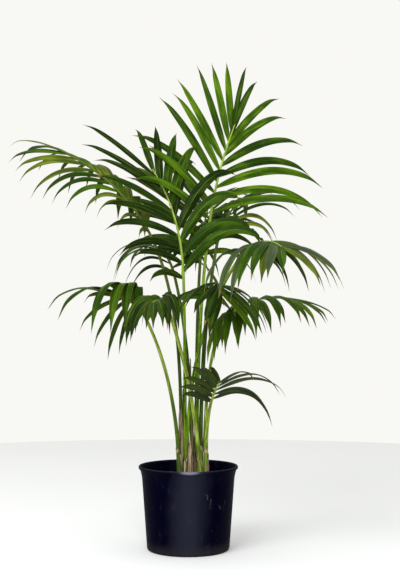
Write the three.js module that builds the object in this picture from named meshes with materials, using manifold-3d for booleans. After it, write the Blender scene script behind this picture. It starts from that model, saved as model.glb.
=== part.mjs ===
// A young kentia palm in a round nursery pot, in millimetres with +Z up.
// The origin is the centre of the pot's flat underside and -Y is the front.
// Three shoots stand in the soil. Each frond is a petiole and a feathered blade.
import * as THREE from 'three';
import Module from 'manifold-3d';

const wasm = await Module();
wasm.setup();

// pot and soil
const potHeight = 214;
const wall = 2.4;
const flareHeight = 39;
const neckRadius = 118;
const baseRadius = 106;
// steps out from the neck and up from the foot of the flare
const lipOutside = [
  [0, 0], [0.9, 8], [2.6, 16], [5.3, 24], [8.2, 30.5], [9.5, 34], [9.3, 37.2], [7.8, 39],
];
const lipInside = [[5.6, 38.2], [2.9, 32], [0.4, 24], [-1.4, 14], [-wall, 0]];
const baseRound = 8;
const floorThickness = 4;
const insideRound = 5;
const insideFoot = baseRadius - wall - 0.6;
const potSides = 36;
const drainCount = 6;
const drainRadius = 6;
const drainCircle = 66;
const soilTop = 189;
const soilEdge = 184;
const soilFlat = 64;
const soilShoulder = 82;
const gap = 0.3;

// shoots, petioles and ribs
const sheathLength = 108;
const sheathFoot = 8.6;
const sheathEnd = 5.8;
const petioleFoot = 5;
const petioleTip = 4;
const ribTip = 1.6;
const limbSides = 7;
const sheathSpans = 4;
const petioleSpan = 70;
const ribSides = 5;
const ribSpans = 5;
const sheathTaper = 1.3;
const dryTaper = 0.72;
const spineSteps = 60;

// leaflets
const leafSteps = 20;
const leafStations = [0, 4, 9, 14, 18, 20];
const leafFull = 0.95;
const foldShare = 0.2;
const ridgeShare = 0.004;
const openJitter = 5;
const liftJitter = 6;
const lengthJitter = 0.06;
const sagJitter = 0.25;
const clearance = 0.4;
const liftTries = [0, 10, -10, 20, -20, 32, -32];
const openTries = [0, -12, 12];

// tilts and lifts are degrees, headings are degrees from +X towards the back, and
// a value in two parts is for the leaflets on the left and on the right of the rib
const frondList = [
  {
    name: 'top', shoot: 'back', seed: 359, foot: [20, 28], heading: 38, turn: 15,
    lean: 1, fork: 11.2, bend: 2, arch: 31, ease: 0.82, petiole: 660, rachis: 292,
    pairs: 9, width: [27.7, 27], roll: -41, narrow: 1.6, open: [63, 61], close: [12, -15],
    lift: [42, 6], liftEnd: [6, -37], sag: [0.4, 0.83],
    root: [1, 1.04], end: [0.79, 0.56], leaf: [277, 323],
  },
  {
    name: 'centre', shoot: 'left', seed: 78, foot: [-8, 3], heading: 195, turn: -1,
    lean: 0, fork: 1.4, bend: 2, arch: 34, ease: 1.23, petiole: 497, rachis: 304,
    pairs: 9, width: [23.2, 34], roll: 65, narrow: 1.9, open: [66, 44], close: [19, 19],
    lift: [-9, 54], liftEnd: [16, -17], sag: [0.7, 1.17],
    root: [0.38, 1.15], end: [0.87, 0.48], leaf: [255, 255],
  },
  {
    name: 'left_top', shoot: 'left', seed: 35, foot: [-18, -2], heading: 178, turn: -7,
    lean: 0, fork: 26.3, bend: 2.5, arch: 64, ease: 0.83, petiole: 631, rachis: 329,
    pairs: 11, width: [19.5, 32.2], roll: 26, narrow: 3.4, open: [35, 27], close: [10, -3],
    lift: [11, 52], liftEnd: [-35, -29], sag: [1.81, 2.27],
    root: [0.27, 0.42], end: [0.77, 0.77], leaf: [183, 201],
  },
  {
    name: 'right_high', shoot: 'left', seed: 66, foot: [-5, -9], heading: 355, turn: -64,
    lean: 1, fork: 51, bend: 1.9, arch: 112, ease: 0.75, petiole: 607, rachis: 192,
    pairs: 9, width: [34, 34], roll: -2, narrow: 2, open: [71, 71], close: [15, 15],
    lift: [5, 1], liftEnd: [2, -5], sag: [2.49, 2.34],
    root: [0.62, 0.84], end: [0.57, 0.41], leaf: [231, 224],
  },
  {
    name: 'right_mid', shoot: 'right', seed: 358, foot: [42, 1], heading: 345, turn: 1,
    lean: 0, fork: 16.7, bend: 2, arch: 98, ease: 0.66, petiole: 375, rachis: 213,
    pairs: 9, width: [29.5, 28.8], roll: -2, narrow: 2.1, open: [94, 83], close: [13, 12],
    lift: [18, 20], liftEnd: [0, 7], sag: [2.21, 2.72],
    root: [0.4, 0.59], end: [0.71, 0.57], leaf: [195, 213],
  },
  {
    name: 'left_mid', shoot: 'left', seed: 246, foot: [-20, -13], heading: 205, turn: 14,
    lean: 4, fork: 32.7, bend: 1.6, arch: 75, ease: 0.43, petiole: 438, rachis: 84,
    pairs: 7, width: [33.9, 17], roll: -39, narrow: 1.9, open: [48, 105], close: [-6, -10],
    lift: [43, -40], liftEnd: [-40, -34], sag: [2.87, 2.52],
    root: [0.31, 0.1], end: [0.96, 0.65], leaf: [252, 139],
  },
  {
    name: 'low', shoot: 'right', seed: 339, foot: [44, -10], heading: 294, turn: -10,
    lean: 0, fork: 34.8, bend: 2, arch: 63, ease: 0.73, petiole: 189, rachis: 106,
    pairs: 6, width: [27.6, 25.5], roll: -4, narrow: 1.8, open: [82, 56], close: [6, 17],
    lift: [16, 1], liftEnd: [4, 22], sag: [2.05, 0.6],
    root: [0.72, 0.63], end: [0.35, 0.51], leaf: [223, 150],
  },
  {
    name: 'front', shoot: 'right', seed: 90, foot: [31, -1], heading: 285, turn: -4,
    lean: 2, fork: 26.1, bend: 2, arch: 135, ease: 0.91, petiole: 449, rachis: 190,
    pairs: 7, width: [30.9, 34], roll: 0, narrow: 1.8, open: [58, 61], close: [26, 15],
    lift: [-15, -17], liftEnd: [-8, 3], sag: [1.87, 1.1],
    root: [0.8, 1.05], end: [0.7, 0.95], leaf: [197, 152],
  },
  {
    name: 'left_near', shoot: 'right', seed: 288, foot: [34, -14], heading: 204, turn: 55,
    lean: 7, fork: 41.3, bend: 2, arch: 101, ease: 0.3, petiole: 466, rachis: 112,
    pairs: 6, width: [31.2, 33], roll: 2, narrow: 2.2, open: [51, 48], close: [3, -10],
    lift: [42, 55], liftEnd: [22, 1], sag: [3.82, 4.23],
    root: [1.01, 0.5], end: [0.57, 0.38], leaf: [150, 161],
  },
  {
    name: 'back_right', shoot: 'back', seed: 298, foot: [28, 36], heading: 65, turn: -3,
    lean: 4, fork: 22.1, bend: 2, arch: 71, ease: 0.68, petiole: 606, rachis: 259,
    pairs: 9, width: [25.8, 23.4], roll: 7, narrow: 2.1, open: [55, 61], close: [17, 11],
    lift: [43, 21], liftEnd: [-18, 2], sag: [3.89, 1.38],
    root: [0.86, 0.92], end: [0.76, 0.63], leaf: [219, 227],
  },
  {
    name: 'back_left', shoot: 'back', seed: 79, foot: [12, 34], heading: 115, turn: 7,
    lean: 4, fork: 27.6, bend: 2, arch: 95, ease: 0.91, petiole: 537, rachis: 191,
    pairs: 8, width: [17, 20.4], roll: 5, narrow: 1.9, open: [57, 61], close: [4, 11],
    lift: [20, 27], liftEnd: [7, 16], sag: [2.89, 1.97],
    root: [0.94, 1.12], end: [0.61, 0.81], leaf: [199, 224],
  },
  {
    name: 'back', shoot: 'back', seed: 245, foot: [20, 42], heading: 89, turn: -12,
    lean: 3, fork: 21.5, bend: 2, arch: 58, ease: 1.05, petiole: 561, rachis: 232,
    pairs: 8, width: [33.5, 24.2], roll: -8, narrow: 2, open: [68, 61], close: [32, 16],
    lift: [13, 6], liftEnd: [24, 10], sag: [0.5, 1.8],
    root: [0.52, 0.59], end: [1, 0.46], leaf: [290, 268],
  },
];

const vec = (x, y, z) => new THREE.Vector3(x, y, z);
const rad = (degrees) => degrees * Math.PI / 180;
const down = vec(0, 0, -1);

// a repeatable number from -1 to 1
function chance(a, b, c) {
  const x = Math.sin(a * 12.9898 + b * 78.233 + c * 37.719) * 43758.5453;
  return (x - Math.floor(x)) * 2 - 1;
}

function headingAt(frond, share) {
  return rad(frond.heading + frond.turn * share);
}

// the middle line of a frond, from the soil to the tip of its rib
function spineOf(frond) {
  const total = frond.petiole + frond.rachis;
  const points = [vec(frond.foot[0], frond.foot[1], soilTop + gap)];
  const dirs = [];
  for (let k = 0; k <= spineSteps; k += 1) {
    const share = k / spineSteps;
    const along = share * total;
    let tilt;
    if (along <= frond.petiole) {
      tilt = frond.lean + (frond.fork - frond.lean) * (along / frond.petiole) ** frond.bend;
    } else {
      const rest = (along - frond.petiole) / frond.rachis;
      tilt = frond.fork + (frond.arch - frond.fork) * rest ** frond.ease;
    }
    const heading = headingAt(frond, share);
    const flat = Math.sin(rad(tilt));
    const dir = vec(flat * Math.cos(heading), flat * Math.sin(heading), Math.cos(rad(tilt)));
    if (k > 0) {
      const step = dirs[k - 1].clone().add(dir).multiplyScalar(total / spineSteps / 2);
      points.push(points[k - 1].clone().add(step));
    }
    dirs.push(dir);
  }
  return { points, dirs, total };
}

function spineAt(spine, along) {
  const x = Math.min(Math.max(along / spine.total, 0), 1) * spineSteps;
  const i = Math.min(Math.floor(x), spineSteps - 1);
  const point = spine.points[i].clone().lerp(spine.points[i + 1], x - i);
  const dir = spine.dirs[i].clone().lerp(spine.dirs[i + 1], x - i).normalize();
  return { point, dir };
}

// turns corner lists into a closed solid that faces outwards
function solidFrom(positions, triangles) {
  let volume = 0;
  for (let i = 0; i < triangles.length; i += 3) {
    const a = positions[triangles[i]];
    const b = positions[triangles[i + 1]];
    const c = positions[triangles[i + 2]];
    volume += a.dot(b.clone().cross(c));
  }
  const order = volume < 0 ? [0, 2, 1] : [0, 1, 2];
  const triVerts = new Uint32Array(triangles.length);
  for (let i = 0; i < triangles.length; i += 3) {
    order.forEach((from, to) => {
      triVerts[i + to] = triangles[i + from];
    });
  }
  const vertProperties = new Float32Array(positions.flatMap((p) => [p.x, p.y, p.z]));
  return new wasm.Manifold(new wasm.Mesh({ numProp: 3, vertProperties, triVerts }));
}

// joins rings of equal length into a closed skin; a one-point ring ends it in a tip
function skinRings(rings) {
  const positions = rings.flat();
  const triangles = [];
  const size = rings[0].length;
  let start = 0;
  for (let r = 0; r + 1 < rings.length; r += 1) {
    const next = start + size;
    const pointed = rings[r + 1].length === 1;
    for (let i = 0; i < size; i += 1) {
      const j = (i + 1) % size;
      if (pointed) {
        triangles.push(start + i, start + j, next);
      } else {
        triangles.push(start + i, start + j, next + j);
        triangles.push(start + i, next + j, next + i);
      }
    }
    start = next;
  }
  for (let i = 1; i + 1 < size; i += 1) {
    triangles.push(0, i + 1, i);
    if (rings.at(-1).length > 1) {
      triangles.push(start, start + i, start + i + 1);
    }
  }
  return solidFrom(positions, triangles);
}

// a tapered limb along a frond's spine
function limb(frond, spine, from, to, radiusAt, sides, spans, flatFoot) {
  const rings = [];
  for (let k = 0; k <= spans; k += 1) {
    const along = from + (to - from) * k / spans;
    const { point, dir } = spineAt(spine, along);
    const heading = headingAt(frond, along / spine.total);
    const side = vec(Math.sin(heading), -Math.cos(heading), 0);
    const up = side.clone().cross(flatFoot && k === 0 ? vec(0, 0, 1) : dir);
    const radius = radiusAt(k / spans);
    const ring = [];
    for (let i = 0; i < sides; i += 1) {
      const angle = 2 * Math.PI * i / sides;
      const across = side.clone().multiplyScalar(radius * Math.cos(angle));
      ring.push(point.clone().add(across).addScaledVector(up, radius * Math.sin(angle)));
    }
    rings.push(ring);
  }
  return skinRings(rings);
}

// one leaflet: a folded blade that bends down under its own weight
function leaflet(frond, spine, place, dLift, dOpen, margin) {
  const { side, index } = place;
  const rank = side < 0 ? 0 : 1;
  const share = (index + (rank === 0 ? 0.15 : 0.6)) / frond.pairs;
  const along = frond.petiole + frond.rachis * share ** 0.9;
  const { point, dir } = spineAt(spine, along);
  const heading = headingAt(frond, along / spine.total);
  const level = vec(Math.sin(heading), -Math.cos(heading), 0);
  const roll = rad(frond.roll);
  const over = level.clone().cross(dir);
  const span = level.clone().multiplyScalar(Math.cos(roll)).addScaledVector(over, Math.sin(roll));
  const upper = span.clone().cross(dir);
  const between = (from, to, part) => from[rank] + (to[rank] - from[rank]) * part;
  const openBase = between(frond.open, frond.close, share ** frond.narrow);
  const open = openBase + openJitter * chance(frond.seed, index, side) + dOpen;
  const liftBase = between(frond.lift, frond.liftEnd, share);
  const lift = liftBase + liftJitter * chance(frond.seed, index, side + 3) + dLift;
  const root = frond.root[rank];
  const end = frond.end[rank];
  const swell = (leafFull - end * 0.16 - root * 0.84) / 0.24;
  const lengthShare = root + swell * share + (end - root - swell) * share ** 2;
  const lengthPart = 1 + lengthJitter * chance(frond.seed, index, side + 7);
  const length = frond.leaf[rank] * lengthShare * lengthPart;
  const sagPart = 1 + sagJitter * chance(frond.seed, index, side + 11);
  const sag = frond.sag[rank] * (1.6 - 1.3 * share) * sagPart;
  const width = frond.width[rank] * (0.85 + 0.5 * share - 0.6 * share * share);
  const outward = span.clone().multiplyScalar(side * Math.cos(rad(lift)));
  outward.addScaledVector(upper, Math.sin(rad(lift)));
  const start = dir.clone().multiplyScalar(Math.cos(rad(open)));
  start.addScaledVector(outward, Math.sin(rad(open)));
  const across = dir.clone().multiplyScalar(Math.sin(rad(open)));
  across.addScaledVector(outward, -Math.cos(rad(open)));
  const ridge = length * ridgeShare + margin;
  const rings = [];
  let here = point.clone();
  let before = null;
  for (let k = 0; k <= leafSteps; k += 1) {
    const t = k / leafSteps;
    const way = start.clone().addScaledVector(down, sag * t ** 1.6).normalize();
    if (before) {
      const half = before.clone().add(way).normalize();
      here = here.clone().addScaledVector(half, length / leafSteps);
    }
    before = way;
    if (!leafStations.includes(k)) {
      continue;
    }
    if (k === leafSteps) {
      rings.push([here.clone().addScaledVector(way, margin)]);
      continue;
    }
    const flat = across.clone().addScaledVector(way, -across.dot(way)).normalize();
    const top = way.clone().cross(flat).multiplyScalar(side);
    const shape = Math.max(t, 0.02) ** 0.45 * (1 - t) ** 0.8 / 0.5;
    const reach = width / 2 * shape;
    const fold = reach * foldShare;
    rings.push([
      here.clone().addScaledVector(top, ridge),
      here.clone().addScaledVector(flat, reach + margin).addScaledVector(top, -fold - margin),
      here.clone().addScaledVector(flat, -reach - margin).addScaledVector(top, -fold - margin),
    ]);
  }
  return skinRings(rings);
}

function boxesMeet(a, b) {
  return [0, 1, 2].every((i) => a.min[i] < b.max[i] && b.min[i] < a.max[i]);
}

function touches(solid, others) {
  const box = solid.boundingBox();
  return others.some((other) => boxesMeet(box, other.box) && !solid.intersect(other.solid).isEmpty());
}

function joined(solids) {
  let pile = solids;
  while (pile.length > 1) {
    const next = [];
    for (let i = 0; i < pile.length; i += 2) {
      next.push(i + 1 < pile.length ? pile[i].add(pile[i + 1]) : pile[i]);
    }
    pile = next;
  }
  return pile[0];
}

// turns a profile of [radius, height] pairs round the Z axis
function turned(profile, sides) {
  const points = profile.map(([radius, height]) => new THREE.Vector2(radius, height));
  const lathe = new THREE.LatheGeometry(points, sides);
  lathe.rotateX(Math.PI / 2);
  const position = lathe.getAttribute('position');
  const corners = [];
  const names = new Map();
  const lookup = [];
  for (let i = 0; i < position.count; i += 1) {
    const corner = vec(position.getX(i), position.getY(i), position.getZ(i));
    const key = corner.toArray().map((value) => Math.round(value * 1000)).join();
    if (!names.has(key)) {
      names.set(key, corners.length);
      corners.push(corner);
    }
    lookup.push(names.get(key));
  }
  const triangles = [];
  const index = lathe.getIndex();
  for (let i = 0; i < index.count; i += 3) {
    const [a, b, c] = [0, 1, 2].map((j) => lookup[index.getX(i + j)]);
    if (a !== b && b !== c && a !== c) {
      triangles.push(a, b, c);
    }
  }
  return solidFrom(corners, triangles);
}

const group = new THREE.Group();
group.name = 'potted_kentia_palm';
const materials = {
  pot: new THREE.MeshStandardMaterial({ name: 'pot', color: 0x1b1c24, roughness: 0.5 }),
  soil: new THREE.MeshStandardMaterial({ name: 'soil', color: 0x2a1c12, roughness: 1 }),
  shoot: new THREE.MeshStandardMaterial({ name: 'shoot', color: 0x5d7a35, roughness: 0.7 }),
  dry: new THREE.MeshStandardMaterial({ name: 'dry', color: 0x8a6a48, roughness: 0.9 }),
  petiole: new THREE.MeshStandardMaterial({ name: 'petiole', color: 0x86ad3c, roughness: 0.5 }),
  frond: new THREE.MeshStandardMaterial({ name: 'frond', color: 0x2f5e1e, roughness: 0.5 }),
};

function place(name, solid, material) {
  const mesh = solid.getMesh();
  const geometry = new THREE.BufferGeometry();
  geometry.setAttribute('position', new THREE.BufferAttribute(mesh.vertProperties.slice(), 3));
  geometry.setIndex(new THREE.BufferAttribute(mesh.triVerts.slice(), 1));
  geometry.computeVertexNormals();
  const node = new THREE.Mesh(geometry, materials[material]);
  node.name = name;
  group.add(node);
}

// the pot: a tapered cup with a flared lip and drain holes round its floor
const flareFoot = potHeight - flareHeight;
const potProfile = [
  [0, 0],
  [baseRadius - baseRound, 0],
  [baseRadius - baseRound * 0.3, baseRound * 0.3],
  [baseRadius, baseRound],
  ...lipOutside.map(([out, up]) => [neckRadius + out, flareFoot + up]),
  ...lipInside.map(([out, up]) => [neckRadius + out, flareFoot + up]),
  [insideFoot, floorThickness + insideRound],
  [insideFoot - insideRound, floorThickness],
  [0, floorThickness],
];
const drains = [];
for (let i = 0; i < drainCount; i += 1) {
  const angle = 2 * Math.PI * (i + 0.5) / drainCount;
  const hole = turned([[0, -2], [drainRadius, -2], [drainRadius, floorThickness + 2],
    [0, floorThickness + 2]], 12);
  drains.push(hole.translate([drainCircle * Math.cos(angle), drainCircle * Math.sin(angle), 0]));
}
place('pot', turned(potProfile, potSides).subtract(joined(drains)), 'pot');

// the soil fills the pot to just under its neck and is level round the shoots
const insideTurn = floorThickness + insideRound;
const slope = (neckRadius - wall - insideFoot) / (flareFoot - insideTurn);
const soilRadius = insideFoot + slope * (soilEdge - insideTurn) - gap;
place('soil', turned([
  [0, floorThickness + gap],
  [insideFoot - insideRound - gap, floorThickness + gap],
  [insideFoot - 2 * gap, insideTurn],
  [soilRadius - 0.2, soilEdge],
  [soilShoulder, soilTop - 2],
  [soilFlat, soilTop],
  [0, soilTop],
], potSides), 'soil');

// shoots: the overlapping sheaths of their petioles, cut flat at the soil
const limbs = [];
const keep = (solid, owner) => limbs.push({ solid, owner, box: solid.boundingBox() });
const spines = new Map(frondList.map((frond) => [frond.name, spineOf(frond)]));
for (const shoot of ['left', 'right', 'back']) {
  const sheaths = frondList.filter((frond) => frond.shoot === shoot).map((frond) => {
    const radiusAt = (t) => sheathEnd + (sheathFoot - sheathEnd) * (1 - t) ** sheathTaper;
    return limb(frond, spines.get(frond.name), 0, sheathLength, radiusAt, limbSides, sheathSpans,
      true);
  });
  const solid = joined(sheaths);
  keep(solid);
  place(`shoot_${shoot}`, solid, 'shoot');
}

// petioles, and the ribs that carry them on through the blades
const ribs = new Map();
for (const frond of frondList) {
  const radiusAt = (t) => petioleFoot + (petioleTip - petioleFoot) * t;
  const spine = spines.get(frond.name);
  const spans = Math.round(frond.petiole / petioleSpan);
  const from = sheathLength + gap;
  const solid = limb(frond, spine, from, frond.petiole - gap, radiusAt, limbSides, spans, false);
  keep(solid);
  place(`petiole_${frond.name}`, solid, 'petiole');
  const ribRadius = (t) => petioleTip + (ribTip - petioleTip) * t;
  const rib = limb(frond, spine, frond.petiole, spine.total, ribRadius, ribSides, ribSpans, false);
  keep(rib, frond.name);
  ribs.set(frond.name, rib);
}

// two dried sheaths between the shoots
const drySheaths = [
  { name: 'dry_sheath_front', foot: [6, -21], heading: 250, height: 118, radius: 6 },
  { name: 'dry_sheath_middle', foot: [17, 6], heading: 60, height: 92, radius: 5 },
];
for (const dry of drySheaths) {
  const stick = { foot: dry.foot, heading: dry.heading, turn: 0, lean: 2, fork: 6, bend: 2,
    arch: 6, ease: 1, petiole: dry.height, rachis: 1 };
  const radiusAt = (t) => dry.radius * (1 - dryTaper * t ** 1.5);
  const solid = limb(stick, spineOf(stick), 0, dry.height, radiusAt, limbSides, sheathSpans, true);
  keep(solid);
  place(dry.name, solid, 'dry');
}

// blades: leaflets in two ranks, each moved a little or left out where it would meet another
const leaves = [];
for (const frond of frondList) {
  const spine = spines.get(frond.name);
  const parts = [ribs.get(frond.name)];
  const others = [...limbs.filter((other) => other.owner !== frond.name), ...leaves];
  for (let index = 0; index < frond.pairs; index += 1) {
    for (const side of [-1, 1]) {
      let done = false;
      for (const dOpen of openTries) {
        for (const dLift of liftTries) {
          if (done) {
            continue;
          }
          const trial = leaflet(frond, spine, { side, index }, dLift, dOpen, clearance);
          if (!touches(trial, others)) {
            parts.push(leaflet(frond, spine, { side, index }, dLift, dOpen, 0));
            done = true;
          }
        }
      }
    }
  }
  leaves.push(...parts.slice(1).map((solid) => ({ solid, box: solid.boundingBox() })));
  place(`frond_${frond.name}`, joined(parts), 'frond');
}

export default group;
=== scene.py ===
import math

import bmesh
import bpy
import numpy as np
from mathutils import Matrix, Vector, kdtree, noise


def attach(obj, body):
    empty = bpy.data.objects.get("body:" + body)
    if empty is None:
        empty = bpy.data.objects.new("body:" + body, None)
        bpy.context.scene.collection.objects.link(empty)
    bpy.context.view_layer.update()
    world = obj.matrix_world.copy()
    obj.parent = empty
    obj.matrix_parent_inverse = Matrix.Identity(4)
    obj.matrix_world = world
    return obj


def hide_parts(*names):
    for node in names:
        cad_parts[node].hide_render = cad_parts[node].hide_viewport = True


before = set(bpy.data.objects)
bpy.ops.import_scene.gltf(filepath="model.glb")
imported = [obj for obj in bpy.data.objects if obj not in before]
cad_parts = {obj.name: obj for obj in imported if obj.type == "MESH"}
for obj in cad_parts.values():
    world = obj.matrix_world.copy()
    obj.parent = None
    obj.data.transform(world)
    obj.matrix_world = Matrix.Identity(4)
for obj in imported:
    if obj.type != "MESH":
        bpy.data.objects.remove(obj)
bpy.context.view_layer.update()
print("frame loaded:", len(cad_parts), "nodes")

millimetre = 0.001  # in metres

# the same sizes as in the solids
growth = dict(
    soilTop=189, gap=0.3, sheathLength=108, sheathFoot=8.6, sheathEnd=5.8, sheathCurve=1.3,
    petioleFoot=5, petioleTip=4, ribTip=1.6, spineSteps=60, leafSteps=20,
    pairStarts=[0.15, 0.6], pairCurve=0.9, fullAt=0.4, leafFull=0.95, pullCurve=1.6,
    widthCurve=[0.85, 0.5, -0.6], sagCurve=[1.6, -1.3],
    openJitter=5, liftJitter=6, lengthJitter=0.06, sagJitter=0.25,
    liftTries=[0, 10, -10, 20, -20, 32, -32], openTries=[0, -12, 12], tipReach=0.6,
)

# tilts and lifts are degrees, headings are degrees from +X towards the back, and
# a value in two parts is for the leaflets on the left and on the right of the rib
frondList = [
    dict(name="top", shoot="back", seed=359, foot=[20, 28], heading=38, turn=15, lean=1, fork=11.2,
         bend=2, arch=31, ease=0.82, petiole=660, rachis=292, pairs=9, width=[27.7, 27], roll=-41,
         narrow=1.6, open=[63, 61], close=[12, -15], lift=[42, 6], liftEnd=[6, -37], sag=[0.4, 0.83],
         root=[1, 1.04], end=[0.79, 0.56], leaf=[277, 323], browned=-1,
         tones=["fresh", "fresh", "mature"]),
    dict(name="centre", shoot="left", seed=78, foot=[-8, 3], heading=195, turn=-1, lean=0, fork=1.4,
         bend=2, arch=34, ease=1.23, petiole=497, rachis=304, pairs=9, width=[23.2, 34], roll=65,
         narrow=1.9, open=[66, 44], close=[19, 19], lift=[-9, 54], liftEnd=[16, -17], sag=[0.7, 1.17],
         root=[0.38, 1.15], end=[0.87, 0.48], leaf=[255, 255], tones=["mature", "deep", "deep"]),
    dict(name="left_top", shoot="left", seed=35, foot=[-18, -2], heading=178, turn=-7, lean=0, fork=26.3,
         bend=2.5, arch=64, ease=0.83, petiole=631, rachis=329, pairs=11, width=[19.5, 32.2], roll=26,
         narrow=3.4, open=[35, 27], close=[10, -3], lift=[11, 52], liftEnd=[-35, -29], sag=[1.81, 2.27],
         root=[0.27, 0.42], end=[0.77, 0.77], leaf=[183, 201], tones=["fresh", "mature", "old"]),
    dict(name="right_high", shoot="left", seed=66, foot=[-5, -9], heading=355, turn=-64, lean=1, fork=51,
         bend=1.9, arch=112, ease=0.75, petiole=607, rachis=192, pairs=9, width=[34, 34], roll=-2,
         narrow=2, open=[71, 71], close=[15, 15], lift=[5, 1], liftEnd=[2, -5], sag=[2.49, 2.34],
         root=[0.62, 0.84], end=[0.57, 0.41], leaf=[231, 224], tones=["glossy", "old", "mature"]),
    dict(name="right_mid", shoot="right", seed=358, foot=[42, 1], heading=345, turn=1, lean=0, fork=16.7,
         bend=2, arch=98, ease=0.66, petiole=375, rachis=213, pairs=9, width=[29.5, 28.8], roll=-2,
         narrow=2.1, open=[94, 83], close=[13, 12], lift=[18, 20], liftEnd=[0, 7], sag=[2.21, 2.72],
         root=[0.4, 0.59], end=[0.71, 0.57], leaf=[195, 213], tones=["fresh", "fresh", "young"]),
    dict(name="left_mid", shoot="left", seed=246, foot=[-20, -13], heading=205, turn=14, lean=4,
         fork=32.7, bend=1.6, arch=75, ease=0.43, petiole=438, rachis=84, pairs=7, width=[33.9, 17],
         roll=-39, narrow=1.9, open=[48, 105], close=[-6, -10], lift=[43, -40], liftEnd=[-40, -34],
         sag=[2.87, 2.52], root=[0.31, 0.1], end=[0.96, 0.65], leaf=[252, 139],
         tones=["mature", "old", "fresh"]),
    # the low frond's darker tones are painted shade
    dict(name="low", shoot="right", seed=339, foot=[44, -10], heading=294, turn=-10, lean=0, fork=34.8,
         bend=2, arch=63, ease=0.73, petiole=189, rachis=106, pairs=6, width=[27.6, 25.5], roll=-4,
         narrow=1.8, open=[82, 56], close=[6, 17], lift=[16, 1], liftEnd=[4, 22], sag=[2.05, 0.6],
         root=[0.72, 0.63], end=[0.35, 0.51], leaf=[223, 150], under="sheen",
         tones=["dusky", "deep", "dusky"]),
    dict(name="front", shoot="right", seed=90, foot=[31, -1], heading=285, turn=-4, lean=2, fork=26.1,
         bend=2, arch=135, ease=0.91, petiole=449, rachis=190, pairs=7, width=[30.9, 34], roll=0,
         narrow=1.8, open=[58, 61], close=[26, 15], lift=[-15, -17], liftEnd=[-8, 3], sag=[1.87, 1.1],
         root=[0.8, 1.05], end=[0.7, 0.95], leaf=[197, 152], tones=["deep", "fresh", "mature"]),
    dict(name="left_near", shoot="right", seed=288, foot=[34, -14], heading=204, turn=55, lean=7,
         fork=41.3, bend=2, arch=101, ease=0.3, petiole=466, rachis=112, pairs=6, width=[31.2, 33],
         roll=2, narrow=2.2, open=[51, 48], close=[3, -10], lift=[42, 55], liftEnd=[22, 1],
         sag=[3.82, 4.23], root=[1.01, 0.5], end=[0.57, 0.38], leaf=[150, 161],
         tones=["deep", "deep", "mature"]),
    dict(name="back_right", shoot="back", seed=298, foot=[28, 36], heading=65, turn=-3, lean=4,
         fork=22.1, bend=2, arch=71, ease=0.68, petiole=606, rachis=259, pairs=9, width=[25.8, 23.4],
         roll=7, narrow=2.1, open=[55, 61], close=[17, 11], lift=[43, 21], liftEnd=[-18, 2],
         sag=[3.89, 1.38], root=[0.86, 0.92], end=[0.76, 0.63], leaf=[219, 227],
         tones=["old", "mature", "deep"]),
    dict(name="back_left", shoot="back", seed=79, foot=[12, 34], heading=115, turn=7, lean=4, fork=27.6,
         bend=2, arch=95, ease=0.91, petiole=537, rachis=191, pairs=8, width=[17, 20.4], roll=5,
         narrow=1.9, open=[57, 61], close=[4, 11], lift=[20, 27], liftEnd=[7, 16], sag=[2.89, 1.97],
         root=[0.94, 1.12], end=[0.61, 0.81], leaf=[199, 224], tones=["mature", "fresh", "deep"]),
    dict(name="back", shoot="back", seed=245, foot=[20, 42], heading=89, turn=-12, lean=3, fork=21.5,
         bend=2, arch=58, ease=1.05, petiole=561, rachis=232, pairs=8, width=[33.5, 24.2], roll=-8,
         narrow=2, open=[68, 61], close=[32, 16], lift=[13, 6], liftEnd=[24, 10], sag=[0.5, 1.8],
         root=[0.52, 0.59], end=[1, 0.46], leaf=[290, 268], tones=["mature", "deep", "fresh"]),
]


# camera, lights and floor
studio = dict(
    cameraPlace=(0.030, -3.0, 0.605), cameraAim=(0.030, 0.0, 0.677), lens=73.55, sensor=36,
    worldColour=(0.945, 0.94, 0.905), worldStrength=1.0, lightAim=(0, 0, 0.65),
    keyPlace=(-1.3, -2.4, 2.6), keyPower=85, keySize=2.0,
    frontPlace=(0.25, -3.1, 1.25), frontPower=34, frontSize=0.45,
    floorRadius=2.6, floorSides=64, floorColour=(0.79, 0.80, 0.81, 1),
    floorShade=(0.74, 0.76, 0.77, 1), weaveScale=3.0, weaveShare=0.6, roughness=0.9, gloss=0.1,
)


def aimFrom(thing, place, aim):
    thing.location = place
    thing.rotation_mode = "QUATERNION"
    thing.rotation_quaternion = (Vector(aim) - Vector(place)).to_track_quat("-Z", "Y")
    bpy.context.collection.objects.link(thing)


def makeCamera():
    camera = bpy.data.objects.new("camera", bpy.data.cameras.new("camera"))
    camera.data.lens = studio["lens"]
    camera.data.sensor_width = studio["sensor"]
    aimFrom(camera, studio["cameraPlace"], studio["cameraAim"])
    bpy.context.scene.camera = camera


def makeLight(name):
    light = bpy.data.lights.new(name, "AREA")
    light.energy = studio[name + "Power"]
    light.size = studio[name + "Size"]
    aimFrom(bpy.data.objects.new(name, light), studio[name + "Place"], studio["lightAim"])


def makeWorld():
    world = bpy.data.worlds.new("studio")
    bpy.context.scene.world = world
    world.use_nodes = True
    background = world.node_tree.nodes["Background"]
    background.inputs["Color"].default_value = (*studio["worldColour"], 1)
    background.inputs["Strength"].default_value = studio["worldStrength"]


makeCamera()
makeWorld()
makeLight("key")
makeLight("front")
bpy.context.scene.view_settings.view_transform = "Standard"
print("camera and lights made")


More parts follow.
